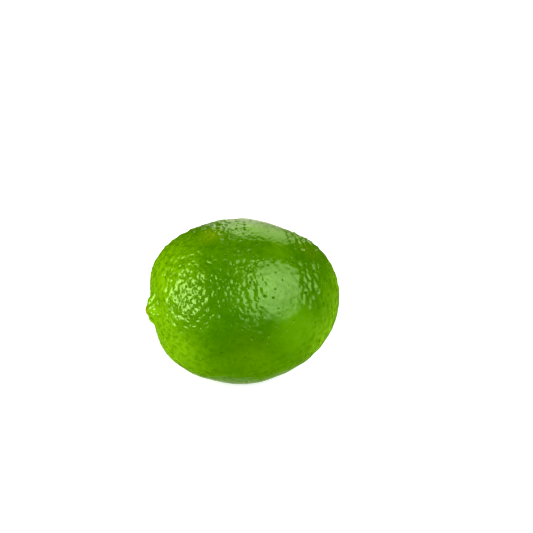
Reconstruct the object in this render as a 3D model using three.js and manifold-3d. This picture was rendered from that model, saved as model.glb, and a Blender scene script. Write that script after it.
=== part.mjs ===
// A lime, as picked: the fruit, with the calyx and the cut stem stub that stay on its stem end.
// Millimetres, +Z up. The fruit lies on its side on a small flat spot, whose middle is the origin.
// Its blossom end, with the nipple, points to -X and its stem end to +X, a little towards +Y.
import * as THREE from "three";
import { mergeVertices } from "three/addons/utils/BufferGeometryUtils.js";
import Module from "manifold-3d";

// Fruit: lengths are measured from its middle
const RADIUS = 26; // round the middle
const BLOSSOM_HALF = 30.1; // to the blossom end, without the nipple
const STEM_HALF = 30.8; // to the stem end, without the collar
const BLOSSOM_BLUNTNESS = 2.26; // 2 is an ellipse, more is squarer
const STEM_BLUNTNESS = 2.08;
const REST_HEIGHT = 25.95; // of the middle above what it lies on: a spot 0.3 deep is cut flat

// Places on the peel: along is in degrees from the blossom end, around is in degrees from +Y to +Z.
const NIPPLE_AT = { along: 9.5, around: 157 };
const STEM_AT = { along: 163.5, around: -27 };

// Low swells (+) and flats (-) that keep the fruit from being a perfect solid of revolution
const SWELLS = [
  { along: 9, around: -44, rise: -1.5 },
  { along: 29, around: 43, rise: 0.7 },
  { along: 60, around: -40, rise: -0.4 },
  { along: 70, around: 95, rise: 0.5 },
  { along: 87, around: -120, rise: 0.9 },
  { along: 90, around: -60, rise: 0.7 },
  { along: 126, around: 66, rise: -1.5 },
  { along: 130, around: -60, rise: 0.4 },
];
const SWELL_SPREAD = 22; // degrees

// Nipple at the blossom end and the shallow furrow round it
const NIPPLE_HEIGHT = 2.7;
const NIPPLE_RADIUS = 3.5;
const AREOLE_RADIUS = 6.2;
const AREOLE_WIDTH = 1.6;
const AREOLE_DEPTH = 0.3;

// Collar that carries the calyx, and the furrows that run out from between the calyx's lobes
const COLLAR_RISE = 1;
const COLLAR_SPREAD = 14; // degrees
const LOBES = 5;
const FURROW_DEPTH = 0.45;
const FURROW_START = 6.5; // from the stem axis
const FURROW_REACH = 3.5;

// Pits of the oil glands, drawn larger than life so that the facets can hold them
const PITS = 800;
const PIT_DEPTH = 0.16;
const PIT_RADIUS = 1.1;
const PIT_SCATTER = 0.8; // share of their spacing that they stray by

// Calyx: a low button of lobes with a hollow in its middle for the stem
const CALYX_RADIUS = 4.5;
const CALYX_THICKNESS = 1.6;
const NOTCH_CUT = 0.26; // share of the radius that the notches between lobes cut in
const NOTCH_DIP = 0.3; // share of the thickness that is lost there
const HOLLOW_RADIUS = 2.3;
const HOLLOW_DEPTH = 0.9;
const GAP = 0.3; // between pieces that touch on the real fruit

// Stem stub, cut off just above the calyx
const STUB_RADIUS = 1.4;
const STUB_FOOT_RADIUS = 1.65;
const STUB_LENGTH = 1.5;
const STUB_EDGE = 0.3;
const STUB_LEAN = 4; // degrees

// Facets
const PEEL_DETAIL = 22;
const END_CROWDING = 0.16; // how far the facets are drawn towards the two ends
const CALYX_SIDES = 50;
const CALYX_RINGS = 7;
const STUB_SIDES = 20;

const wasm = await Module();
wasm.setup();

const degrees = THREE.MathUtils.degToRad;
const bell = (distance, width) => Math.exp(-((distance / width) ** 2));

// Unit vector from the fruit's middle towards a place on the peel.
function aim({ along, around }) {
  const a = degrees(along);
  const r = degrees(around);
  return new THREE.Vector3(-Math.cos(a), Math.sin(a) * Math.cos(r), Math.sin(a) * Math.sin(r));
}

// How much of a cap round the unit vector to is left at the unit vector d: 1 in its middle.
function cap(d, to, spread) {
  return Math.exp((to.dot(d) - 1) / (1 - Math.cos(degrees(spread))));
}

const nippleAim = aim(NIPPLE_AT);
const stemAim = aim(STEM_AT);
const swells = SWELLS.map((swell) => ({ to: aim(swell), rise: swell.rise }));

// The stem end's own frame: x along the stem, with angles round it from y to z
const stemFrame = new THREE.Quaternion().setFromUnitVectors(new THREE.Vector3(1, 0, 0), stemAim);
const stemFrameBack = stemFrame.clone().invert();

// Depth of the areole's furrow and of the furrows round the calyx, at the unit vector d.
function furrowDepth(d) {
  const areole = AREOLE_DEPTH * bell(BLOSSOM_HALF * d.distanceTo(nippleAim) - AREOLE_RADIUS, AREOLE_WIDTH);
  const { x, y, z } = d.clone().applyQuaternion(stemFrameBack);
  if (x < 0) return areole;
  const between = (1 - Math.cos(LOBES * Math.atan2(z, y))) / 2;
  return areole + FURROW_DEPTH * between * bell(STEM_HALF * Math.hypot(y, z) - FURROW_START, FURROW_REACH);
}

// Distance from the fruit's middle to its unpitted peel, towards the unit vector d.
function peelReach(d) {
  const half = THREE.MathUtils.lerp(BLOSSOM_HALF, STEM_HALF, (1 + d.x) / 2);
  const bluntness = THREE.MathUtils.lerp(BLOSSOM_BLUNTNESS, STEM_BLUNTNESS, (1 + d.x) / 2);
  const lengthwise = (Math.abs(d.x) / half) ** bluntness;
  const across = (Math.hypot(d.y, d.z) / RADIUS) ** bluntness;
  let reach = (lengthwise + across) ** (-1 / bluntness);
  for (const { to, rise } of swells) reach += rise * cap(d, to, SWELL_SPREAD);
  reach += COLLAR_RISE * cap(d, stemAim, COLLAR_SPREAD);
  reach += NIPPLE_HEIGHT * bell(BLOSSOM_HALF * d.distanceTo(nippleAim), NIPPLE_RADIUS);
  return reach - furrowDepth(d);
}

// A seeded draw from 0 to 1, so that every build is the same.
function seededDraw(seed) {
  let state = seed;
  return () => {
    state = (state * 1664525 + 1013904223) >>> 0;
    return state / 2 ** 32;
  };
}

// Unit vectors spread evenly over a sphere along a spiral, each moved a little off its place.
function pitAims() {
  const draw = seededDraw(7);
  const stray = PIT_SCATTER * Math.sqrt((4 * Math.PI) / PITS);
  const turn = Math.PI * (3 - Math.sqrt(5));
  return Array.from({ length: PITS }, (_, i) => {
    const x = 1 - (2 * (i + 0.5)) / PITS;
    const across = Math.sqrt(1 - x * x);
    const shift = new THREE.Vector3(draw() - 0.5, draw() - 0.5, draw() - 0.5);
    const place = new THREE.Vector3(x, across * Math.cos(i * turn), across * Math.sin(i * turn));
    return place.addScaledVector(shift, stray).normalize();
  });
}

// A unit vector drawn towards whichever end of the fruit it is nearer to.
function crowdToEnds(d) {
  const fromEnd = Math.acos(THREE.MathUtils.clamp(d.x, -1, 1));
  const crowded = fromEnd - END_CROWDING * Math.sin(2 * fromEnd);
  const across = Math.hypot(d.y, d.z);
  const widen = across > 0 ? Math.sin(crowded) / across : 0;
  return d.set(Math.cos(crowded), d.y * widen, d.z * widen);
}

// Only a closed geometry's positions, with those that meet shared.
function merged(geometry) {
  const bare = geometry.clone();
  bare.deleteAttribute("normal");
  bare.deleteAttribute("uv");
  return mergeVertices(bare, 1e-4);
}

function solidOf(geometry) {
  const shared = merged(geometry);
  return new wasm.Manifold(
    new wasm.Mesh({
      numProp: 3,
      vertProperties: shared.getAttribute("position").array,
      triVerts: new Uint32Array(shared.index.array),
    }),
  );
}

function geometryOf(solid) {
  const { vertProperties, triVerts } = solid.getMesh();
  return new THREE.BufferGeometry()
    .setAttribute("position", new THREE.BufferAttribute(vertProperties, 3))
    .setIndex(new THREE.BufferAttribute(triVerts, 1));
}

// The fruit: an even ball of facets pushed out to the peel, pitted, and cut flat where it rests.
function fruitGeometry() {
  const peel = merged(new THREE.IcosahedronGeometry(1, PEEL_DETAIL));
  const position = peel.getAttribute("position");
  const pits = pitAims();
  for (let i = 0; i < position.count; i++) {
    const d = crowdToEnds(new THREE.Vector3().fromBufferAttribute(position, i).normalize());
    const reach = peelReach(d);
    const fromPit = reach * Math.min(...pits.map((pit) => pit.distanceTo(d)));
    d.multiplyScalar(reach - PIT_DEPTH * bell(fromPit, PIT_RADIUS));
    position.setXYZ(i, d.x, d.y, d.z);
  }
  const below = new THREE.BoxGeometry(RADIUS, RADIUS, RADIUS);
  below.translate(0, 0, -REST_HEIGHT - RADIUS / 2);
  return geometryOf(solidOf(peel).subtract(solidOf(below)));
}

// Point lift above the peel, across away from the stem's axis, at an angle round that axis.
function overStemEnd(across, angle, lift) {
  const d = new THREE.Vector3(STEM_HALF, across * Math.cos(angle), across * Math.sin(angle));
  d.normalize().applyQuaternion(stemFrame);
  return d.multiplyScalar(peelReach(d) + lift);
}

// 1 in the middle of each of the calyx's lobes, falling to 0 in the notches between them.
const lobeFullness = (angle) => Math.sqrt(Math.abs(Math.cos((LOBES * angle) / 2)));

// Distance from the stem's axis to the calyx's rim.
const calyxRim = (angle) => CALYX_RADIUS * (1 - NOTCH_CUT * (1 - lobeFullness(angle)));

// The calyx's thickness at a share of the way out to its rim.
function calyxThickness(share, angle) {
  const notch = NOTCH_DIP * (1 - lobeFullness(angle)) * share;
  const hollow = HOLLOW_DEPTH * Math.exp(-(((share * calyxRim(angle)) / HOLLOW_RADIUS) ** 4));
  return CALYX_THICKNESS * (1 - notch) * Math.sqrt(1 - share ** 5) - hollow;
}

// A closed skin over rings of points, all of one count, from one end point to another.
function closedSkin(first, rings, last) {
  const sides = rings[0].length;
  const points = [first, ...rings.flat(), last];
  const at = (ring, side) => 1 + ring * sides + (side % sides);
  const index = [];
  for (let side = 0; side < sides; side++) {
    index.push(0, at(0, side), at(0, side + 1));
    for (let ring = 0; ring + 1 < rings.length; ring++) {
      index.push(at(ring, side), at(ring + 1, side), at(ring, side + 1));
      index.push(at(ring, side + 1), at(ring + 1, side), at(ring + 1, side + 1));
    }
    index.push(points.length - 1, at(rings.length - 1, side + 1), at(rings.length - 1, side));
  }
  return new THREE.BufferGeometry().setFromPoints(points).setIndex(index);
}

// The calyx: out over its lobes from the hollow to the rim, then back under it along the peel.
function calyxGeometry() {
  const steps = Array.from({ length: CALYX_RINGS }, (_, i) => (i + 1) / CALYX_RINGS);
  const shares = steps.map((step) => Math.sin((step * Math.PI) / 2));
  const ring = (share, thickness) =>
    Array.from({ length: CALYX_SIDES }, (_, side) => {
      const angle = (2 * Math.PI * side) / CALYX_SIDES;
      return overStemEnd(share * calyxRim(angle), angle, GAP + thickness(share, angle));
    });
  const over = shares.map((share) => ring(share * 0.995, calyxThickness));
  const under = shares.map((share) => ring(share * 0.97, () => 0)).reverse();
  return closedSkin(calyxMiddle(0), [...over, ...under], overStemEnd(0, 0, GAP));
}

// Point lift above the floor of the calyx's hollow, on the stem's axis.
const calyxMiddle = (lift) => overStemEnd(0, 0, GAP + calyxThickness(0, 0) + lift);

// The stub: a short stem, flared at its foot, with a rounded edge and a dished cut end.
function stubGeometry() {
  const profile = [
    [0, 0],
    [STUB_FOOT_RADIUS - STUB_EDGE, 0],
    [STUB_FOOT_RADIUS, STUB_EDGE],
    [STUB_RADIUS, STUB_LENGTH / 2],
    [STUB_RADIUS, STUB_LENGTH - STUB_EDGE],
    [STUB_RADIUS - STUB_EDGE, STUB_LENGTH],
    [STUB_RADIUS / 3, STUB_LENGTH - STUB_EDGE / 2],
    [0, STUB_LENGTH - STUB_EDGE / 2],
  ];
  return new THREE.LatheGeometry(profile.map(([r, h]) => new THREE.Vector2(r, h)), STUB_SIDES);
}

function piece(name, geometry, color, roughness) {
  const mesh = new THREE.Mesh(geometry, new THREE.MeshStandardMaterial({ color, roughness, metalness: 0 }));
  mesh.name = name;
  return mesh;
}

const fruit = piece("fruit", fruitGeometry(), 0x5b9a08, 0.35);
const calyx = piece("calyx", calyxGeometry(), 0x86a016, 0.6);
const stub = piece("stem_stub", stubGeometry(), 0xb59a3c, 0.8);
const stubAim = aim({ along: STEM_AT.along - STUB_LEAN, around: STEM_AT.around });
stub.quaternion.setFromUnitVectors(new THREE.Vector3(0, 1, 0), stubAim);
stub.position.copy(calyxMiddle(GAP));

// All of it is shaped round the fruit's middle and then lifted to lie on the origin.
const lime = new THREE.Group();
lime.position.z = REST_HEIGHT;
lime.add(fruit, calyx, stub);

export default lime;
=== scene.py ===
"""A fresh lime lying on its side, with its calyx and the cut stub of its stem, on a pale floor.

The fruit is shaped in millimetres round its own middle, by the formula of its solid, with puckers and
relief added. The calyx and the stub are let into what carries them, where their solids keep a gap to it.
Each mesh is turned into metres and lifted onto the floor as it is made.
"""

import math
import bmesh
import bpy
import numpy as np
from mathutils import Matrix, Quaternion, Vector


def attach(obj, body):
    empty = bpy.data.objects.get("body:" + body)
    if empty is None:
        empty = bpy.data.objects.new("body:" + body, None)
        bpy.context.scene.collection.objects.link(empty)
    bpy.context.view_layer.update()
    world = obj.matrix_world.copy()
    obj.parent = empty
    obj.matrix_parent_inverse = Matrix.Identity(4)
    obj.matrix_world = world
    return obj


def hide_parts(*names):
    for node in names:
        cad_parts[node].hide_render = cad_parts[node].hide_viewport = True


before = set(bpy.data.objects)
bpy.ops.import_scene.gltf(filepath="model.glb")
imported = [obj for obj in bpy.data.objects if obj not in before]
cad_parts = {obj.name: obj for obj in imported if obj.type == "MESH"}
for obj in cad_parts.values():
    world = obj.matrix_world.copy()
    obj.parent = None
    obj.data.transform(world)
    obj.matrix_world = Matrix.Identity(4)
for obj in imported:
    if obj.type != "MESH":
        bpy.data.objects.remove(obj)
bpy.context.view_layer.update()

MM = 0.001  # metres

# Fruit: lengths are measured from its middle
RADIUS = 26  # round the middle
BLOSSOM_HALF = 30.1  # to the blossom end, without the nipple
STEM_HALF = 30.8  # to the stem end, without the collar
BLOSSOM_BLUNTNESS = 2.26  # 2 is an ellipse, more is squarer
STEM_BLUNTNESS = 2.08
REST_HEIGHT = 25.95  # of the middle above the floor

# Places on the peel: degrees from the blossom end, and degrees round the fruit from +Y to +Z
NIPPLE_AT = (9.5, 157)
STEM_AT = (163.5, -27)

# Low swells (+) and flats (-): degrees along, degrees around, and rise
SWELLS = [
    (9, -44, -1.5),
    (29, 43, 0.7),
    (60, -40, -0.4),
    (70, 95, 0.5),
    (87, -120, 0.9),
    (90, -60, 0.7),
    (126, 66, -1.5),
    (130, -60, 0.4),
]
SWELL_SPREAD = 22  # degrees

# Nipple, the shallow furrow round it and the puckers that run out from its tip
NIPPLE_HEIGHT = 2.7
NIPPLE_RADIUS = 3.5
AREOLE_RADIUS = 6.2
AREOLE_WIDTH = 1.6
AREOLE_DEPTH = 0.3
PUCKERS = 6
PUCKER_TURN = 157  # degrees round the nipple from +Y to +Z, where one of them runs
PUCKER_DEPTH = 0.5
PUCKER_SHARPNESS = 4  # 1 is as wide as the ridges between them, more is narrower
PUCKER_MIDDLE = 3.4  # from the nipple's tip, where they are deepest
PUCKER_REACH = 2.8  # from there

# Collar under the calyx, and the furrows that run out from between the calyx's lobes
COLLAR_RISE = 1
COLLAR_SPREAD = 14  # degrees
LOBES = 5
FURROW_DEPTH = 0.45
FURROW_MIDDLE = 6.5  # from the stem's axis, where they are deepest
FURROW_REACH = 3.5  # from there

# Relief of the peel: size across and height or depth of each kind of bump
BALL_CELLS = 128  # along each side of the cube that the peel's mesh is blown up from
UNDULATION_SIZE = 5.5
UNDULATION_HEIGHT = 0.2
PEBBLE_SIZE = 1.7  # of its coarser half: the finer half is half as large
PEBBLE_HEIGHT = 0.38
RIPPLE_SIZE = 1.4  # wrinkles that run across the fruit near its stem end
RIPPLE_HEIGHT = 0.8
RIPPLE_STRETCH = 0.4  # their width as a share of their length
RIPPLE_START = (13, 20)  # along the fruit from its middle, where they set in and are full
WRINKLE_WIDTH = 1.25  # of the wrinkles that run out from the nipple, at WRINKLE_AT from its tip
WRINKLE_AT = 4.5
WRINKLE_HEIGHT = 0.8
WRINKLE_REACH = ((1.5, 4), (6, 9))  # from its tip, where they set in and are full, and where they fade out
GRAIN_SIZE = 0.45  # the skin's own grain is finer, and is drawn this coarse so that it shows
GRAIN_HEIGHT = 0.02  # too low for the mesh, so the material holds it
DIMPLES = (1.15, 0.6, 0.2)  # over the small oil glands: spacing, largest radius and depth
PITS = (2.35, 0.65, 0.35)  # over the large ones
FINE_DIMPLES = (1.15, 0.6, 0.07)  # the part of the dimples and pits that the material holds
FINE_PITS = (2.35, 0.6, 0.16)
GLAND_LEAST = 0.4  # the smallest hollow's radius, as a share of the largest one's

# How strong the relief is: least round the smoothest belt of the fruit, and on its smooth sides
SMOOTHEST_AT = 9  # along the fruit from its middle
BELT = ((3, 9, 0.57), (18, 25, 0.4))  # distances from it over which the relief grows, and by how much
BELT_COARSENESS = 0.33
SMOOTH_SIDES = [  # direction from the middle, where the relief starts and ends fading, and what is left
    ((0.3, 0, -1), -8, 8, 0.3),  # the belly
    ((0.6, 0.1, 0.8), 23, 26, 0.75),  # the shoulder above the stem end
]
NIPPLE_COARSENESS = 0.5  # what is added round the nipple
NIPPLE_COARSE = (3, 9)  # from its tip, where that starts to fade and where it is gone
TIP_COARSENESS = 0.25  # share that is left of the whole at the tip itself
TIP_SMOOTH = (0.8, 3)  # from it, where the share starts to grow and where it is full

# Colour of the peel: how far it has paled from green, along directions from the fruit's middle
GREEN = "#2f501e"
PALE_GREEN = "#6d9923"
CLOUD_SIZE = 12
CLOUD_STRENGTH = 0.08
RIPENING = [  # direction, where the paling starts and is full, and how strong it is
    ((-1, 0, 0), 11.5, 29.5, 0.69),
    ((0.96, -0.22, -0.2), 20.5, 37, 0.88),
    ((0, 0, -1), -4, 14, 0.18),
    ((0, 0, 1), 3, 18, 0.12),
    ((0.75, -0.3, -0.6), 13, 24, 0.11),
]

# Painted shade: darker green in the dips of the pebbling; and darker glands, their own colour deepened by
# painted shade in their hollows
DIP_SHADE_GREEN = "#2a4a12"
DIP_SHADE_RANGE = (0.3, 0.55)  # values of the pebbling's noise between which the painted shade of the dips fades out
DIP_SHADE_STRENGTH = 0.45
GLAND_AND_SHADE_GREEN = "#1c3c0c"
# how strongly each kind of gland shows its darker green with painted shade of its hollow, and its duller
# wax
DIMPLE_STRENGTH = 0.48
PIT_STRENGTH = 0.75

# Tinges of the peel: place on it, radius, width of the edge over which it fades, colour and strength
TINGES = [
    ((50, 150), 9, 12, "#33551e", 0.6),  # a greener cheek
    ((119, 174), 7, 10, "#608e21", 0.3),  # a paler cheek
    ((23, 134), 2, 6, "#33551e", 0.35),  # a greener spot above the nipple
    ((84, 187), 7, 12, "#5a6a18", 0.13),  # an olive blush on the flank
    (NIPPLE_AT, 1.7, 2.2, "#796c1a", 0.7),  # the nipple ripens first
    (NIPPLE_AT, 0.6, 0.8, "#5f4a18", 0.8),  # scar that the flower's style left
    ((68, 93), 3, 7, "#76881a", 0.35),  # a riper spot on top
    ((136, 106), 3.5, 4, "#4c5a17", 0.3),  # an olive spot on the shoulder
    ((112, 114), 3, 8, "#6a9422", 0.2),  # a paler spot beside it
    (STEM_AT, 6.5, 4, "#84982a", 0.6),  # pale skin round the calyx
    (STEM_AT, 4.5, 1, "#5c4216", 0.75),  # its dry edge
]
TINGE_WOBBLE = 1.2  # how far their edges wander

# Wax on the peel: size of its patches, their roughness where thick and thin, and what a gland adds
WAX_SIZE = 4
WAX_ROUGHNESS = (0.11, 0.18)
WAX_IOR = 1.5
WAX_TINT = "#ceff95"  # of its gloss
GLAND_ROUGHNESS = 0.2
NOISE_RANGE = (0.3, 0.7)  # values that a noise texture mostly stays between
NOISE_MIDDLE = 0.5

# Calyx: a low button of lobes with a hollow in its middle for the stem
CALYX_RADIUS = 4.5
CALYX_THICKNESS = 1.9
CALYX_LIP = 0.3  # share of the thickness at which the rim is widest
CALYX_BLUNTNESS = 5  # of its top towards the rim: 2 is half an ellipse, more is squarer
CALYX_SINK = 0.25  # how far its underside is let into the peel
UNDERCUT_SHARPNESS = 9  # how close to the rim its underside leaves the peel: more is closer
CALYX_SIDES = 240
CALYX_RINGS = 44
NOTCH_CUT = 0.26  # share of the radius that the notches between lobes cut in
NOTCH_DIP = 0.3  # share of the thickness that is lost there
HOLLOW_RADIUS = 2.3
HOLLOW_DEPTH = 1.1
HOLLOW_SHARPNESS = 4  # of its edge: 2 is a soft dip, more is a pit with a flat floor
LOBE_STRAY = 0.05  # the most that a lobe's reach strays from the radius, as a share of it
LOBE_SEED = 3
FOLD_SIZE = 0.9  # of the folds of its skin, and their height
FOLD_HEIGHT = 0.12

# Colour and skin of the calyx
CALYX_GREENS = ("#627a0e", "#9aa51c")
CALYX_CLOUD_SIZE = 1.5
CALYX_BROWN = "#5a4014"
BROWN_BELOW = (0.1, 1.1)  # height above the peel over which the brown of the thin rim fades out
BROWN_STRENGTH = 0.9
# Painted shade: dark brown in the calyx's hollow round the stem
HOLLOW_SHADE_BROWN = "#3c2a10"
HOLLOW_SHADE_EDGE = (1.7, 2.7)  # distance from the stem's axis over which the painted shade fades out
HOLLOW_SHADE_STRENGTH = 0.95
BROWN_WOBBLE = 0.5
CALYX_ROUGHNESS = (0.36, 0.65)  # where fleshy and where dry
CALYX_GRAIN_SIZE = 0.35  # coarser than it grows, so that it shows
CALYX_GRAIN_HEIGHT = 0.1

# Stem stub, cut off just above the calyx
STUB_RADIUS = 1.4
STUB_FOOT_RADIUS = 1.65
STUB_FLARE = 2  # 1 is a straight taper, more keeps the flare closer to the foot
STUB_LENGTH = 1.8
STUB_EDGE = 0.22
STUB_LEAN = 4  # degrees
STUB_SIDES = 120
STUB_RINGS = 40
STUB_DISH = 0.12  # depth to which its cut face is hollowed
STUB_FOOT = 0.3  # how far its foot is let into the calyx
EDGE_RINGS = 8
FACE_RINGS = 16
BARK_RIDGES = ((7, 0.045), (12, 0.03), (19, 0.02))  # ridges round the stub, and their height
BARK_FADE = 4  # how fast they fade out inwards over the cut face

# Colour and skin of the stem: distances are from its axis
WOOD_BROWNS = ("#8f7a45", "#d3c08c")
RING_WIDTH = 0.22  # of the wood's rings
PITH_BROWN = "#5e4522"
PITH_EDGE = (0.15, 0.4)
PITH_STRENGTH = 0.8
BARK_GREENS = ("#4f4a16", "#8d8236")
BARK_EDGE = (1.1, 1.3)
FIBRE_SIZE = 0.3  # coarser than real fibres, so that they show
FIBRE_HEIGHT = 0.1
STEM_ROUGHNESS = (0.85, 0.6)  # of the cut face and of the bark

# Camera: it looks down at the fruit's side from far away, and from a little towards the blossom end
CAMERA_ELEVATION = 30  # degrees
CAMERA_TURN = -10.1  # degrees from -Y towards +X
CAMERA_DISTANCE = 700
PIXELS_PER_MM = 3.136  # at the fruit's middle
FRAME_PIXELS = 533
MIDDLE_PIXEL = (242.5, 299.5)  # where the fruit's middle falls in the frame
SENSOR = 36  # width in millimetres

# Studio
FLOOR_REACH = 3000
FLOOR_WHITE = "#f4f4f2"
FLOOR_ROUGHNESS = 0.8
FLOOR_GLOW = "#eeeeff"
FLOOR_GLOW_STRENGTH = 0.52
BLACK_LEVEL = (0.02, 0, 0.03)  # what counts as black in the render's red, green and blue
ROOM_LIGHT = (0.15, 0.24, 0.06, 1)
GAP_LIGHT = (1.25, 1.25, 0.95, 1)
GAP_WIDTH = 0.2  # sine of the angle at which the gap has faded out
GAP_DEPTH = 0.5  # cosine of the angle from straight behind the fruit at which it is full
GAP_FALL = (-0.9, -0.4)  # sines of the angles above level between which it dims downwards
GAP_FOOT = 0.3  # share of its light that is left below that


def bell(distance, width):
    """1 where distance is 0, falling smoothly to 0 over about two widths."""
    return np.exp(-((distance / width) ** 2))


def aim(along, around):
    """Unit vector from the fruit's middle towards a place on the peel."""
    along = math.radians(along)
    around = math.radians(around)
    across = math.sin(along)
    return np.array([-math.cos(along), across * math.cos(around), across * math.sin(around)])


def cap(aims, to, spread):
    """How much of a cap round the unit vector to is left towards the unit vectors aims."""
    return np.exp((aims @ to - 1) / (1 - math.cos(math.radians(spread))))


def turn_between(start, end):
    """Matrix of the shortest turn from one unit vector to another."""
    return np.array(Vector(start).rotation_difference(Vector(end)).to_matrix())


nipple_aim = aim(*NIPPLE_AT)
nipple_turn = turn_between((-1, 0, 0), nipple_aim)
stem_aim = aim(*STEM_AT)
stem_turn = turn_between((1, 0, 0), stem_aim)


def between_spokes(count, angle):
    """1 midway between count evenly spread spokes, 0 on them."""
    return (1 - np.cos(count * angle)) / 2


def nipple_creases(aims):
    """Depth of the areole's furrow and of the puckers round the nipple, towards the unit vectors aims."""
    from_tip = BLOSSOM_HALF * np.linalg.norm(aims - nipple_aim, axis=-1)
    areole = AREOLE_DEPTH * bell(from_tip - AREOLE_RADIUS, AREOLE_WIDTH)
    local = aims @ nipple_turn
    angle = np.arctan2(local[..., 2], local[..., 1]) - math.radians(PUCKER_TURN)
    crease = (1 - between_spokes(PUCKERS, angle)) ** PUCKER_SHARPNESS
    pucker = PUCKER_DEPTH * crease * bell(from_tip - PUCKER_MIDDLE, PUCKER_REACH)
    return areole + pucker


def calyx_furrows(aims):
    """Depth of the furrows that run out from between the calyx's lobes, towards the unit vectors aims."""
    local = aims @ stem_turn
    angle = np.arctan2(local[..., 2], local[..., 1])
    from_axis = STEM_HALF * np.hypot(local[..., 1], local[..., 2])
    depth = FURROW_DEPTH * between_spokes(LOBES, angle) * bell(from_axis - FURROW_MIDDLE, FURROW_REACH)
    return np.where(local[..., 0] > 0, depth, 0)


def peel_reach(aims):
    """Distance from the fruit's middle to its smooth peel, towards the unit vectors aims."""
    share = (1 + aims[..., 0]) / 2
    half = BLOSSOM_HALF + (STEM_HALF - BLOSSOM_HALF) * share
    bluntness = BLOSSOM_BLUNTNESS + (STEM_BLUNTNESS - BLOSSOM_BLUNTNESS) * share
    lengthwise = (np.abs(aims[..., 0]) / half) ** bluntness
    across = (np.hypot(aims[..., 1], aims[..., 2]) / RADIUS) ** bluntness
    reach = (lengthwise + across) ** (-1 / bluntness)
    for along, around, rise in SWELLS:
        reach += rise * cap(aims, aim(along, around), SWELL_SPREAD)
    reach += COLLAR_RISE * cap(aims, stem_aim, COLLAR_SPREAD)
    from_tip = BLOSSOM_HALF * np.linalg.norm(aims - nipple_aim, axis=-1)
    reach += NIPPLE_HEIGHT * bell(from_tip, NIPPLE_RADIUS)
    return reach - nipple_creases(aims) - calyx_furrows(aims)


def over_stem_end(across, angle, lift):
    """Points lift above the peel, across away from the stem's axis, at angles round it."""
    local = np.stack([np.full_like(across, STEM_HALF), across * np.cos(angle), across * np.sin(angle)], -1)
    local /= np.linalg.norm(local, axis=-1, keepdims=True)
    aims = local @ stem_turn.T
    return aims * (peel_reach(aims) + lift)[..., None]


def linear(hex_colour):
    """An sRGB hex colour as linear RGBA."""
    channels = [int(hex_colour[i : i + 2], 16) / 255 for i in (1, 3, 5)]
    return [c / 12.92 if c <= 0.04045 else ((c + 0.055) / 1.055) ** 2.4 for c in channels] + [1]


def add(tree, kind, settings=None, **inputs):
    """Adds a node. An input takes a constant, a socket, or a node's first output; iN is input number N.

    A mix of colours takes its share as i0 and its two colours as i6 and i7, and gives outputs[2].
    """
    node = tree.nodes.new(kind)
    for name, value in (settings or {}).items():
        setattr(node, name, value)
    for name, value in inputs.items():
        socket = node.inputs[int(name[1:])] if name[1:].isdigit() else node.inputs[name.replace("_", " ")]
        if isinstance(value, bpy.types.Node):
            value = value.outputs[0]
        if isinstance(value, bpy.types.NodeSocket):
            tree.links.new(value, socket)
        else:
            socket.default_value = value
    return node


def on_peel(along, around):
    """The point of the smooth peel at a place given in degrees."""
    towards = aim(along, around)
    return towards * peel_reach(towards)


def in_metres(point):
    """A point given in millimetres from the fruit's middle, in the frame's metres."""
    return Vector(np.asarray(point) + [0, 0, REST_HEIGHT]) * MM


def mesh_piece(name, points, faces, material):
    """A smooth piece from points in millimetres round the fruit's middle."""
    mesh = bpy.data.meshes.new(name)
    mesh.from_pydata((np.asarray(points) + [0, 0, REST_HEIGHT]) * MM, [], faces)
    mesh.shade_smooth()
    mesh.materials.append(material)
    piece = bpy.data.objects.new(name, mesh)
    bpy.context.scene.collection.objects.link(piece)
    return piece


def raise_relief(piece, height):
    """Moves a piece's surface out by height(tree, place), a node's result in millimetres."""
    tree = bpy.data.node_groups.new(piece.name + " relief", "GeometryNodeTree")
    tree.interface.new_socket("Geometry", in_out="INPUT", socket_type="NodeSocketGeometry")
    tree.interface.new_socket("Geometry", in_out="OUTPUT", socket_type="NodeSocketGeometry")
    start = add(tree, "NodeGroupInput")
    normal = add(tree, "GeometryNodeInputNormal")
    rise = height(tree, add(tree, "GeometryNodeInputPosition"))
    rise = add(tree, "ShaderNodeMath", {"operation": "MULTIPLY"}, i0=rise, i1=MM)
    offset = add(tree, "ShaderNodeVectorMath", {"operation": "SCALE"}, Vector=normal, Scale=rise)
    moved = add(tree, "GeometryNodeSetPosition", Geometry=start, Offset=offset)
    add(tree, "NodeGroupOutput", i0=moved)
    piece.modifiers.new("relief", "NODES").node_group = tree
    mesh = bpy.data.meshes.new_from_object(piece.evaluated_get(bpy.context.evaluated_depsgraph_get()))
    piece.modifiers.clear()
    piece.data = mesh


def flatten_on_floor(piece):
    """Presses whatever lies below the floor flat onto it."""
    mesh = piece.data
    points = np.empty(len(mesh.vertices) * 3, np.float32)
    mesh.vertices.foreach_get("co", points)
    points[2::3] = np.maximum(points[2::3], 0)
    mesh.vertices.foreach_set("co", points)
    mesh.update()


def even_ball(cells):
    """Unit vectors and quads of a ball blown up from a cube, each side a grid of even angles."""
    cube = bmesh.new()
    bmesh.ops.create_cube(cube, size=2)
    bmesh.ops.subdivide_edges(cube, edges=cube.edges, cuts=cells - 1, use_grid_fill=True)
    points = np.tan(np.array([vertex.co for vertex in cube.verts]) * (math.pi / 4))
    faces = [[vertex.index for vertex in face.verts] for face in cube.faces]
    cube.free()
    return points / np.linalg.norm(points, axis=1, keepdims=True), faces


def closed_skin(first, rings, last):
    """Points and faces of a closed skin over rings of points, from one end point to another."""
    count, sides = rings.shape[:2]
    points = np.vstack([[first], rings.reshape(-1, 3), [last]])
    faces = []
    for side in range(sides):
        after = (side + 1) % sides
        faces.append((0, 1 + side, 1 + after))
        for ring in range(count - 1):
            near = 1 + ring * sides
            far = near + sides
            faces.append((near + side, far + side, far + after, near + after))
        outer = 1 + (count - 1) * sides
        faces.append((len(points) - 1, outer + after, outer + side))
    return points, faces


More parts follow.
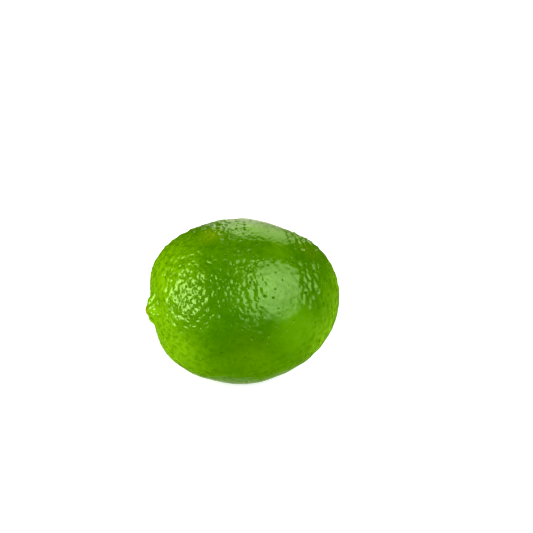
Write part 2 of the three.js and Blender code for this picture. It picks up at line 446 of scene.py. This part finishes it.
def gland_marks(tree, place, spacing, radius):
    """1 in the middle of each oil gland's hollow, falling to 0 at its rim. No two are the same size."""
    glands = add(tree, "ShaderNodeTexVoronoi", Vector=place, Scale=1 / (spacing * MM))
    rim = add(tree, "ShaderNodeMapRange", Value=glands.outputs["Color"],
              To_Min=GLAND_LEAST * radius / spacing, To_Max=radius / spacing)
    return add(tree, "ShaderNodeMapRange", {"interpolation_type": "SMOOTHSTEP"}, Value=glands,
               From_Min=0.0, From_Max=rim, To_Min=1.0, To_Max=0.0)


def coarseness(tree, place):
    """How strong the relief is, from its weakest round the smoothest belt to its strongest at the ends."""
    along = add(tree, "ShaderNodeSeparateXYZ", Vector=place)
    from_belt = add(tree, "ShaderNodeMath", {"operation": "SUBTRACT"}, i0=along, i1=SMOOTHEST_AT * MM)
    from_belt = add(tree, "ShaderNodeMath", {"operation": "ABSOLUTE"}, i0=from_belt)
    overall = BELT_COARSENESS
    for start, end, growth in BELT:
        step = add(tree, "ShaderNodeMapRange", {"interpolation_type": "SMOOTHSTEP"}, Value=from_belt,
                   From_Min=start * MM, From_Max=end * MM, To_Min=0.0, To_Max=growth)
        overall = add(tree, "ShaderNodeMath", {"operation": "ADD"}, i0=overall, i1=step)
    from_middle = add(tree, "ShaderNodeVectorMath", {"operation": "SUBTRACT"},
                      i0=place, i1=in_metres((0, 0, 0)))
    for towards, start, end, least in SMOOTH_SIDES:
        reach = add(tree, "ShaderNodeVectorMath", {"operation": "DOT_PRODUCT"}, i0=from_middle, i1=towards)
        share = add(tree, "ShaderNodeMapRange", {"interpolation_type": "SMOOTHSTEP"},
                    Value=reach.outputs["Value"], From_Min=start * MM, From_Max=end * MM,
                    To_Min=1.0, To_Max=least)
        overall = add(tree, "ShaderNodeMath", {"operation": "MULTIPLY"}, i0=overall, i1=share)
    from_tip = add(tree, "ShaderNodeVectorMath", {"operation": "DISTANCE"},
                   i0=place, i1=in_metres(on_peel(*NIPPLE_AT))).outputs["Value"]
    near_tip = add(tree, "ShaderNodeMapRange", {"interpolation_type": "SMOOTHSTEP"}, Value=from_tip,
                   From_Min=NIPPLE_COARSE[0] * MM, From_Max=NIPPLE_COARSE[1] * MM,
                   To_Min=NIPPLE_COARSENESS, To_Max=0.0)
    overall = add(tree, "ShaderNodeMath", {"operation": "ADD"}, i0=overall, i1=near_tip)
    tip = add(tree, "ShaderNodeMapRange", {"interpolation_type": "SMOOTHSTEP"}, Value=from_tip,
              From_Min=TIP_SMOOTH[0] * MM, From_Max=TIP_SMOOTH[1] * MM, To_Min=TIP_COARSENESS, To_Max=1.0)
    return add(tree, "ShaderNodeMath", {"operation": "MULTIPLY"}, i0=overall, i1=tip)


def ripples(tree, place):
    """Height of the wrinkles that run across the fruit near its stem end."""
    long_way = add(tree, "ShaderNodeVectorMath", {"operation": "MULTIPLY"},
                   i0=place, i1=(1, RIPPLE_STRETCH, RIPPLE_STRETCH))
    noise = add(tree, "ShaderNodeTexNoise", Vector=long_way, Scale=1 / (RIPPLE_SIZE * MM), Detail=0.0)
    ripple = add(tree, "ShaderNodeMapRange", Value=noise, To_Min=-RIPPLE_HEIGHT, To_Max=RIPPLE_HEIGHT)
    along = add(tree, "ShaderNodeSeparateXYZ", Vector=place)
    share = add(tree, "ShaderNodeMapRange", {"interpolation_type": "SMOOTHSTEP"}, Value=along,
                From_Min=RIPPLE_START[0] * MM, From_Max=RIPPLE_START[1] * MM, To_Min=0.0, To_Max=1.0)
    return add(tree, "ShaderNodeMath", {"operation": "MULTIPLY"}, i0=ripple, i1=share)


def wrinkles(tree, place):
    """Height of the wrinkles that run out from the nipple."""
    from_tip = add(tree, "ShaderNodeVectorMath", {"operation": "SUBTRACT"},
                   i0=place, i1=in_metres(on_peel(*NIPPLE_AT)))
    across = add(tree, "ShaderNodeVectorMath", {"operation": "CROSS_PRODUCT"}, i0=from_tip, i1=nipple_aim)
    around = add(tree, "ShaderNodeVectorMath", {"operation": "NORMALIZE"}, i0=across)
    noise = add(tree, "ShaderNodeTexNoise", Vector=around, Scale=WRINKLE_AT / WRINKLE_WIDTH, Detail=1.0)
    height = add(tree, "ShaderNodeMapRange", Value=noise, To_Min=-WRINKLE_HEIGHT, To_Max=WRINKLE_HEIGHT)
    distance = add(tree, "ShaderNodeVectorMath", {"operation": "LENGTH"}, i0=from_tip).outputs["Value"]
    for (start, end), shares in zip(WRINKLE_REACH, ((0.0, 1.0), (1.0, 0.0))):
        share = add(tree, "ShaderNodeMapRange", {"interpolation_type": "SMOOTHSTEP"}, Value=distance,
                    From_Min=start * MM, From_Max=end * MM, To_Min=shares[0], To_Max=shares[1])
        height = add(tree, "ShaderNodeMath", {"operation": "MULTIPLY"}, i0=height, i1=share)
    return height


def hollows(tree, place, spacing, radius, depth):
    """Depth of the hollows over one kind of oil gland."""
    mark = gland_marks(tree, place, spacing, radius)
    return add(tree, "ShaderNodeMath", {"operation": "MULTIPLY"}, i0=mark, i1=depth)


def peel_height(tree, place):
    """The peel's relief in millimetres: pebbling, ripples, dimples, undulations, wrinkles and pits."""
    noise = add(tree, "ShaderNodeTexNoise", Vector=place, Scale=1 / (PEBBLE_SIZE * MM), Detail=1.0)
    height = add(tree, "ShaderNodeMapRange", Value=noise, To_Min=-PEBBLE_HEIGHT, To_Max=PEBBLE_HEIGHT)
    height = add(tree, "ShaderNodeMath", {"operation": "ADD"}, i0=height, i1=ripples(tree, place))
    height = add(tree, "ShaderNodeMath", {"operation": "SUBTRACT"},
                 i0=height, i1=hollows(tree, place, *DIMPLES))
    height = add(tree, "ShaderNodeMath", {"operation": "MULTIPLY"}, i0=height, i1=coarseness(tree, place))
    noise = add(tree, "ShaderNodeTexNoise", Vector=place, Scale=1 / (UNDULATION_SIZE * MM), Detail=0.0)
    swell = add(tree, "ShaderNodeMapRange", Value=noise,
                To_Min=-UNDULATION_HEIGHT, To_Max=UNDULATION_HEIGHT)
    height = add(tree, "ShaderNodeMath", {"operation": "ADD"}, i0=height, i1=swell)
    height = add(tree, "ShaderNodeMath", {"operation": "ADD"}, i0=height, i1=wrinkles(tree, place))
    return add(tree, "ShaderNodeMath", {"operation": "SUBTRACT"}, i0=height, i1=hollows(tree, place, *PITS))


def make_peel():
    """The fruit in its peel, nipple and all, pressed flat where it lies on the floor."""
    aims, faces = even_ball(BALL_CELLS)
    peel = mesh_piece("lime_peel", aims * peel_reach(aims)[:, None], faces, waxy_peel())
    raise_relief(peel, peel_height)
    flatten_on_floor(peel)
    return peel


def lobe_fullness(angle):
    """1 in the middle of each of the calyx's lobes, falling to 0 in the notches between them."""
    return np.sqrt(np.abs(np.cos(LOBES * angle / 2)))


def lobe_reach(angle):
    """How far each lobe reaches, as a share of the calyx's radius."""
    strays = np.random.default_rng(LOBE_SEED).uniform(-LOBE_STRAY, LOBE_STRAY, LOBES)
    lobe = np.round(LOBES * angle / (2 * math.pi)).astype(int) % LOBES
    return 1 + strays[lobe] * lobe_fullness(angle)


def calyx_rim(angle):
    """Distance from the stem's axis to the calyx's rim."""
    return CALYX_RADIUS * (1 - NOTCH_CUT * (1 - lobe_fullness(angle))) * lobe_reach(angle)


def calyx_top(share, angle):
    """Height of the calyx above the peel at a share of the way out to its rim."""
    notch = NOTCH_DIP * (1 - lobe_fullness(angle)) * share
    dome = CALYX_LIP + (1 - CALYX_LIP) * np.sqrt(1 - share**CALYX_BLUNTNESS)
    hollow = HOLLOW_DEPTH * np.exp(-((share * calyx_rim(angle) / HOLLOW_RADIUS) ** HOLLOW_SHARPNESS))
    return CALYX_THICKNESS * (1 - notch) * dome - hollow


def calyx_under(share):
    """Height of the calyx's underside above the peel: let into it, and free of it at the rim."""
    return (CALYX_THICKNESS * CALYX_LIP + CALYX_SINK) * share**UNDERCUT_SHARPNESS - CALYX_SINK


def calyx_height(tree, place):
    """The calyx's relief in millimetres: fine wrinkles over coarser folds."""
    noise = add(tree, "ShaderNodeTexNoise", Vector=place, Scale=1 / (FOLD_SIZE * MM), Detail=3.0)
    return add(tree, "ShaderNodeMapRange", Value=noise, To_Min=-FOLD_HEIGHT, To_Max=FOLD_HEIGHT)


def make_calyx():
    """The button of fleshy lobes that stays on the stem end."""
    angle = np.linspace(0, 2 * math.pi, CALYX_SIDES, endpoint=False)[None, :]
    share = np.sin(np.linspace(0, math.pi / 2, CALYX_RINGS + 1)[1:])[:, None]
    over = over_stem_end(share * calyx_rim(angle), angle, calyx_top(share, angle))
    back = share[-2::-2]  # every other ring from the rim inwards
    under = over_stem_end(back * calyx_rim(angle), angle, calyx_under(back))
    middle = np.zeros(1)
    top = over_stem_end(middle, middle, calyx_top(middle, middle))[0]
    bottom = over_stem_end(middle, middle, middle - CALYX_SINK)[0]
    points, faces = closed_skin(top, np.vstack([over, under]), bottom)
    calyx = mesh_piece("lime_calyx", points, faces, fleshy_calyx())
    raise_relief(calyx, calyx_height)
    return calyx


def make_stub():
    """The cut end of the stem, standing in the calyx's hollow."""
    low = np.linspace(0, 1, STUB_RINGS)
    flare = STUB_RADIUS + (STUB_FOOT_RADIUS - STUB_RADIUS) * (1 - low) ** STUB_FLARE
    edge = np.linspace(0, math.pi / 2, EDGE_RINGS)[1:]
    cut = np.linspace(1, 0, FACE_RINGS)[1:-1]
    radius = np.concatenate([flare, STUB_RADIUS - STUB_EDGE * (1 - np.cos(edge)),
                             (STUB_RADIUS - STUB_EDGE) * cut])
    height = np.concatenate([low * (STUB_LENGTH - STUB_EDGE), STUB_LENGTH - STUB_EDGE * (1 - np.sin(edge)),
                             STUB_LENGTH - STUB_DISH * (1 - cut**2)])
    angle = np.linspace(0, 2 * math.pi, STUB_SIDES, endpoint=False)
    bark = sum(rise * np.cos(ridges * angle + ridges) for ridges, rise in BARK_RIDGES)
    grown = np.clip(radius / STUB_RADIUS, 0, 1)[:, None] ** BARK_FADE * bark[None, :]
    across = radius[:, None] + grown
    height = height[:, None]
    rings = np.stack(np.broadcast_arrays(height, across * np.cos(angle), across * np.sin(angle)), -1)
    turn = turn_between((1, 0, 0), aim(STEM_AT[0] - STUB_LEAN, STEM_AT[1]))
    middle = np.zeros(1)
    foot = over_stem_end(middle, middle, calyx_top(middle, middle) - STUB_FOOT)[0]
    points, faces = closed_skin((0, 0, 0), rings, (STUB_LENGTH - STUB_DISH, 0, 0))
    return mesh_piece("lime_stem_stub", points @ turn.T + foot, faces, cut_stem())


def principled(name):
    """A new material with its node tree and its shader."""
    material = bpy.data.materials.new(name)
    material.use_nodes = True
    return material, material.node_tree, material.node_tree.nodes["Principled BSDF"]


def wandering(tree, place, wobble):
    """The place moved by noise, by at most the wobble, so that an edge measured from it is uneven."""
    noise = add(tree, "ShaderNodeTexNoise", Vector=place, Scale=1 / (2 * wobble * MM), Detail=2.0)
    stray = add(tree, "ShaderNodeVectorMath", {"operation": "SUBTRACT"},
                i0=noise.outputs["Color"], i1=(NOISE_MIDDLE,) * 3)
    stray = add(tree, "ShaderNodeVectorMath", {"operation": "SCALE"}, i0=stray, Scale=2 * wobble * MM)
    return add(tree, "ShaderNodeVectorMath", {"operation": "ADD"}, i0=place, i1=stray)


def waxy_peel():
    """Citrus peel, grown, under a thin natural wax.

    It gives the eye a wet-looking gloss that the pebbling breaks into glints, and dark dots in the hollows
    over the oil glands, their own darker green deepened by painted shade, with painted shade in the
    pebbling's dips too, on a green that pales to yellow-green towards both ends.
    """
    material, tree, shader = principled("lime peel, grown and waxy")
    place = add(tree, "ShaderNodeTexCoord").outputs["Object"]
    cloud = add(tree, "ShaderNodeTexNoise", Vector=place, Scale=1 / (CLOUD_SIZE * MM), Detail=2.0)
    ripe = add(tree, "ShaderNodeMapRange", Value=cloud, From_Min=NOISE_RANGE[0], From_Max=NOISE_RANGE[1],
               To_Min=-CLOUD_STRENGTH, To_Max=CLOUD_STRENGTH)
    from_middle = add(tree, "ShaderNodeVectorMath", {"operation": "SUBTRACT"},
                      i0=place, i1=in_metres((0, 0, 0)))
    for towards, start, end, amount in RIPENING:
        reach = add(tree, "ShaderNodeVectorMath", {"operation": "DOT_PRODUCT"}, i0=from_middle, i1=towards)
        paler = add(tree, "ShaderNodeMapRange", {"interpolation_type": "SMOOTHSTEP"},
                    Value=reach.outputs["Value"], From_Min=start * MM, From_Max=end * MM,
                    To_Min=0.0, To_Max=amount)
        ripe = add(tree, "ShaderNodeMath", {"operation": "ADD"}, i0=ripe, i1=paler)
    ripe = add(tree, "ShaderNodeClamp", Value=ripe)
    green = add(tree, "ShaderNodeMix", {"data_type": "RGBA"},
                i0=ripe, i6=linear(GREEN), i7=linear(PALE_GREEN))
    # Painted shade: darker green in the dips of the pebbling, from the same noise as its relief
    dip_shade = add(tree, "ShaderNodeTexNoise", Vector=place, Scale=1 / (PEBBLE_SIZE * MM), Detail=1.0)
    dip_shade = add(tree, "ShaderNodeMapRange", Value=dip_shade, From_Min=DIP_SHADE_RANGE[0], From_Max=DIP_SHADE_RANGE[1],
              To_Min=DIP_SHADE_STRENGTH, To_Max=0.0)
    green = add(tree, "ShaderNodeMix", {"data_type": "RGBA"},
                i0=dip_shade, i6=green.outputs[2], i7=linear(DIP_SHADE_GREEN))
    dull = add(tree, "ShaderNodeTexNoise", Vector=place, Scale=1 / (WAX_SIZE * MM), Detail=2.0)
    dull = add(tree, "ShaderNodeMapRange", Value=dull, From_Min=NOISE_RANGE[0], From_Max=NOISE_RANGE[1],
               To_Min=WAX_ROUGHNESS[0], To_Max=WAX_ROUGHNESS[1])
    # The glands' own darker green, deepened by painted shade of their hollows, and their duller wax
    for (spacing, radius, _), strength in ((DIMPLES, DIMPLE_STRENGTH), (PITS, PIT_STRENGTH)):
        gland = gland_marks(tree, place, spacing, radius)
        gland = add(tree, "ShaderNodeMath", {"operation": "MULTIPLY"}, i0=gland, i1=strength)
        dull = add(tree, "ShaderNodeMath", {"operation": "MULTIPLY_ADD"},
                   i0=gland, i1=GLAND_ROUGHNESS, i2=dull)
        green = add(tree, "ShaderNodeMix", {"data_type": "RGBA"},
                    i0=gland, i6=green.outputs[2], i7=linear(GLAND_AND_SHADE_GREEN))
    for where, radius, edge, colour, strength in TINGES:
        from_spot = add(tree, "ShaderNodeVectorMath", {"operation": "DISTANCE"},
                        i0=wandering(tree, place, TINGE_WOBBLE), i1=in_metres(on_peel(*where)))
        share = add(tree, "ShaderNodeMapRange", {"interpolation_type": "SMOOTHSTEP"},
                    Value=from_spot.outputs["Value"], From_Min=(radius - edge / 2) * MM,
                    From_Max=(radius + edge / 2) * MM, To_Min=strength, To_Max=0.0)
        green = add(tree, "ShaderNodeMix", {"data_type": "RGBA"},
                    i0=share, i6=green.outputs[2], i7=linear(colour))
    tree.links.new(green.outputs[2], shader.inputs["Base Color"])
    grain = add(tree, "ShaderNodeTexNoise", Vector=place, Scale=1 / (GRAIN_SIZE * MM), Detail=0.0)
    grain = add(tree, "ShaderNodeMapRange", Value=grain, To_Min=-GRAIN_HEIGHT, To_Max=GRAIN_HEIGHT)
    grain = add(tree, "ShaderNodeMath", {"operation": "SUBTRACT"},
                i0=grain, i1=hollows(tree, place, *FINE_DIMPLES))
    grain = add(tree, "ShaderNodeMath", {"operation": "MULTIPLY"}, i0=grain, i1=coarseness(tree, place))
    grain = add(tree, "ShaderNodeMath", {"operation": "SUBTRACT"},
                i0=grain, i1=hollows(tree, place, *FINE_PITS))
    bump = add(tree, "ShaderNodeBump", Height=grain, Distance=MM)
    tree.links.new(bump.outputs[0], shader.inputs["Normal"])
    tree.links.new(dull.outputs[0], shader.inputs["Roughness"])
    shader.inputs["IOR"].default_value = WAX_IOR
    shader.inputs["Specular Tint"].default_value = linear(WAX_TINT)
    return material


def round_stem(tree, place):
    """Height above the peel along the stem's axis, and distance from that axis."""
    from_foot = add(tree, "ShaderNodeVectorMath", {"operation": "SUBTRACT"},
                    i0=place, i1=in_metres(on_peel(*STEM_AT)))
    height = add(tree, "ShaderNodeVectorMath", {"operation": "DOT_PRODUCT"}, i0=from_foot, i1=stem_aim)
    across = add(tree, "ShaderNodeVectorMath", {"operation": "CROSS_PRODUCT"}, i0=from_foot, i1=stem_aim)
    across = add(tree, "ShaderNodeVectorMath", {"operation": "LENGTH"}, i0=across)
    return height.outputs["Value"], across.outputs["Value"]


def fleshy_calyx():
    """Calyx flesh, grown and drying.

    It gives the eye a satin yellow-green that turns brown and matt where it is thin, with painted shade
    in dark brown in its hollow round the stem.
    """
    material, tree, shader = principled("calyx flesh, grown and drying")
    place = add(tree, "ShaderNodeTexCoord").outputs["Object"]
    cloud = add(tree, "ShaderNodeTexNoise", Vector=place, Scale=1 / (CALYX_CLOUD_SIZE * MM), Detail=3.0)
    green = add(tree, "ShaderNodeMix", {"data_type": "RGBA"},
                i0=cloud, i6=linear(CALYX_GREENS[0]), i7=linear(CALYX_GREENS[1]))
    height, across = round_stem(tree, wandering(tree, place, BROWN_WOBBLE))
    dry = add(tree, "ShaderNodeMapRange", {"interpolation_type": "SMOOTHSTEP"}, Value=height,
              From_Min=BROWN_BELOW[0] * MM, From_Max=BROWN_BELOW[1] * MM, To_Min=BROWN_STRENGTH, To_Max=0.0)
    green = add(tree, "ShaderNodeMix", {"data_type": "RGBA"},
                i0=dry, i6=green.outputs[2], i7=linear(CALYX_BROWN))
    # Painted shade: dark brown in the hollow round the stem
    inside = add(tree, "ShaderNodeMapRange", {"interpolation_type": "SMOOTHSTEP"}, Value=across,
                 From_Min=HOLLOW_SHADE_EDGE[0] * MM, From_Max=HOLLOW_SHADE_EDGE[1] * MM,
                 To_Min=HOLLOW_SHADE_STRENGTH, To_Max=0.0)
    green = add(tree, "ShaderNodeMix", {"data_type": "RGBA"},
                i0=inside, i6=green.outputs[2], i7=linear(HOLLOW_SHADE_BROWN))
    tree.links.new(green.outputs[2], shader.inputs["Base Color"])
    rough = add(tree, "ShaderNodeMapRange", Value=dry, From_Max=BROWN_STRENGTH,
                To_Min=CALYX_ROUGHNESS[0], To_Max=CALYX_ROUGHNESS[1])
    tree.links.new(rough.outputs[0], shader.inputs["Roughness"])
    grain = add(tree, "ShaderNodeTexNoise", Vector=place, Scale=1 / (CALYX_GRAIN_SIZE * MM), Detail=2.0)
    bump = add(tree, "ShaderNodeBump", Height=grain, Distance=CALYX_GRAIN_HEIGHT * MM)
    tree.links.new(bump.outputs[0], shader.inputs["Normal"])
    return material


def cut_stem():
    """Citrus twig, cut across.

    It gives the eye a pale dry face with rings and a dark pith, inside a band of ridged olive bark.
    """
    material, tree, shader = principled("citrus twig, cut")
    place = add(tree, "ShaderNodeTexCoord").outputs["Object"]
    _, across = round_stem(tree, place)
    rings = add(tree, "ShaderNodeMath", {"operation": "DIVIDE"}, i0=across, i1=RING_WIDTH * MM)
    rings = add(tree, "ShaderNodeTexNoise", {"noise_dimensions": "1D"}, W=rings, Scale=1.0, Detail=1.0)
    face = add(tree, "ShaderNodeMix", {"data_type": "RGBA"},
               i0=rings, i6=linear(WOOD_BROWNS[0]), i7=linear(WOOD_BROWNS[1]))
    pith = add(tree, "ShaderNodeMapRange", {"interpolation_type": "SMOOTHSTEP"}, Value=across,
               From_Min=PITH_EDGE[0] * MM, From_Max=PITH_EDGE[1] * MM, To_Min=PITH_STRENGTH, To_Max=0.0)
    face = add(tree, "ShaderNodeMix", {"data_type": "RGBA"},
               i0=pith, i6=face.outputs[2], i7=linear(PITH_BROWN))
    fibre = add(tree, "ShaderNodeTexNoise", Vector=place, Scale=1 / (FIBRE_SIZE * MM), Detail=3.0)
    bark = add(tree, "ShaderNodeMix", {"data_type": "RGBA"},
               i0=fibre, i6=linear(BARK_GREENS[0]), i7=linear(BARK_GREENS[1]))
    skin = add(tree, "ShaderNodeMapRange", {"interpolation_type": "SMOOTHSTEP"}, Value=across,
               From_Min=BARK_EDGE[0] * MM, From_Max=BARK_EDGE[1] * MM, To_Min=0.0, To_Max=1.0)
    wood = add(tree, "ShaderNodeMix", {"data_type": "RGBA"},
               i0=skin, i6=face.outputs[2], i7=bark.outputs[2])
    tree.links.new(wood.outputs[2], shader.inputs["Base Color"])
    rough = add(tree, "ShaderNodeMapRange", Value=skin, To_Min=STEM_ROUGHNESS[0], To_Max=STEM_ROUGHNESS[1])
    tree.links.new(rough.outputs[0], shader.inputs["Roughness"])
    bump = add(tree, "ShaderNodeBump", Height=fibre, Distance=FIBRE_HEIGHT * MM)
    tree.links.new(bump.outputs[0], shader.inputs["Normal"])
    return material


def make_camera():
    """A camera that sees the fruit's middle at MIDDLE_PIXEL."""
    elevation = math.radians(CAMERA_ELEVATION)
    turn = math.radians(CAMERA_TURN)
    right = np.array([math.cos(turn), math.sin(turn), 0])
    level = np.array([math.sin(turn), -math.cos(turn), 0])
    back = level * math.cos(elevation) + np.array([0, 0, math.sin(elevation)])
    up = np.cross(back, right)
    centre = FRAME_PIXELS / 2
    target = (right * (centre - MIDDLE_PIXEL[0]) + up * (MIDDLE_PIXEL[1] - centre)) / PIXELS_PER_MM
    camera = bpy.data.objects.new("camera", bpy.data.cameras.new("camera"))
    camera.data.sensor_width = SENSOR
    camera.data.lens = SENSOR * PIXELS_PER_MM * CAMERA_DISTANCE / FRAME_PIXELS
    camera.data.clip_start = CAMERA_DISTANCE * MM / 2
    camera.location = in_metres(target + back * CAMERA_DISTANCE)
    camera.rotation_euler = Vector(back).to_track_quat("Z", "Y").to_euler()
    bpy.context.scene.collection.objects.link(camera)
    bpy.context.scene.camera = camera


def softbox(name, towards, distance, size, roll, radiance, shift, spread, colour=(1, 1, 1)):
    """A rectangular light that faces the fruit, brightest in the direction towards.

    Its middle is shifted from there in its own plane, and its radiance falls off over spread degrees.
    """
    light = bpy.data.objects.new(name, bpy.data.lights.new(name, "AREA"))
    light.data.shape = "RECTANGLE"
    light.data.size, light.data.size_y = (length * MM for length in size)
    half_spread = math.radians(spread) / 2
    # At the same power a light is brighter as its spread narrows, so its power is cut by as much
    power_share = 1 - half_spread / math.tan(half_spread)
    light.data.energy = radiance * power_share * math.pi * light.data.size * light.data.size_y
    light.data.spread = 2 * half_spread
    light.data.color = colour
    back = Vector(towards).normalized()
    turn = back.to_track_quat("Z", "Y") @ Quaternion((0, 0, 1), math.radians(roll))
    light.location = in_metres(turn @ Vector((*shift, distance)))
    light.rotation_euler = turn.to_euler()
    light.visible_camera = False
    bpy.context.scene.collection.objects.link(light)


def make_floor():
    """White acrylic, cast matt and lit from below: it gives the eye no edge and hardly a shadow."""
    reach = FLOOR_REACH * MM
    mesh = bpy.data.meshes.new("floor")
    mesh.from_pydata([(-reach, -reach, 0), (reach, -reach, 0), (reach, reach, 0), (-reach, reach, 0)], [],
                     [(0, 1, 2, 3)])
    material, _, shader = principled("white acrylic, cast matt")
    shader.inputs["Base Color"].default_value = linear(FLOOR_WHITE)
    shader.inputs["Roughness"].default_value = FLOOR_ROUGHNESS
    shader.inputs["Emission Color"].default_value = linear(FLOOR_GLOW)
    shader.inputs["Emission Strength"].default_value = FLOOR_GLOW_STRENGTH
    mesh.materials.append(material)
    floor = bpy.data.objects.new("floor", mesh)
    floor.visible_glossy = False
    bpy.context.scene.collection.objects.link(floor)


def make_world():
    """A dim room with a pale gap straight behind the fruit, which only its gloss sees below the floor."""
    world = bpy.data.worlds.new("studio")
    world.use_nodes = True
    tree = world.node_tree
    towards = add(tree, "ShaderNodeTexCoord")
    turn = math.radians(CAMERA_TURN)
    aside = add(tree, "ShaderNodeVectorMath", {"operation": "DOT_PRODUCT"},
                i0=towards, i1=(math.cos(turn), math.sin(turn), 0))
    aside = add(tree, "ShaderNodeMath", {"operation": "ABSOLUTE"}, i0=aside.outputs["Value"])
    gap = add(tree, "ShaderNodeMapRange", {"interpolation_type": "SMOOTHSTEP"}, Value=aside,
              From_Min=0.0, From_Max=GAP_WIDTH, To_Min=1.0, To_Max=0.0)
    behind = add(tree, "ShaderNodeVectorMath", {"operation": "DOT_PRODUCT"},
                 i0=towards, i1=(-math.sin(turn), math.cos(turn), 0))
    behind = add(tree, "ShaderNodeMapRange", {"interpolation_type": "SMOOTHSTEP"},
                 Value=behind.outputs["Value"], From_Min=0.0, From_Max=GAP_DEPTH, To_Min=0.0, To_Max=1.0)
    gap = add(tree, "ShaderNodeMath", {"operation": "MULTIPLY"}, i0=gap, i1=behind)
    height = add(tree, "ShaderNodeSeparateXYZ", Vector=towards)
    shade = add(tree, "ShaderNodeMapRange", {"interpolation_type": "SMOOTHSTEP"}, Value=height.outputs["Z"],
                From_Min=GAP_FALL[0], From_Max=GAP_FALL[1], To_Min=GAP_FOOT, To_Max=1.0)
    gap = add(tree, "ShaderNodeMath", {"operation": "MULTIPLY"}, i0=gap, i1=shade)
    light = add(tree, "ShaderNodeMix", {"data_type": "RGBA"}, i0=gap, i6=ROOM_LIGHT, i7=GAP_LIGHT)
    tree.links.new(light.outputs[2], tree.nodes["Background"].inputs["Color"])
    bpy.context.scene.world = world


def make_studio():
    """The camera, the floor, the room and three softboxes, with the render's darks deepened."""
    make_camera()
    make_floor()
    make_world()
    softbox("right softbox", towards=(0.32, -0.675, 0.665), distance=650, size=(694, 1330), roll=-20,
            radiance=8.7, shift=(214, -214), spread=100)
    softbox("left softbox", towards=(-0.9, -0.28, 0.29), distance=650, size=(360, 520), roll=20,
            radiance=17, shift=(0, 95), spread=90, colour=(1, 1, 0.75))
    softbox("back panel", towards=(0.36, 0.775, 0.519), distance=900, size=(490, 840), roll=23,
            radiance=3.4, shift=(14, -150), spread=72, colour=(0.8, 1, 0.45))
    view = bpy.context.scene.view_settings
    view.view_transform = "Standard"
    view.use_curve_mapping = True
    view.curve_mapping.black_level = BLACK_LEVEL
    view.curve_mapping.update()


def stand_for(piece, node):
    """Sets a piece in the place of its CAD node."""
    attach(piece, "root")
    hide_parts(node)


make_studio()
stand_for(make_peel(), "fruit")
stand_for(make_calyx(), "calyx")
stand_for(make_stub(), "stem_stub")
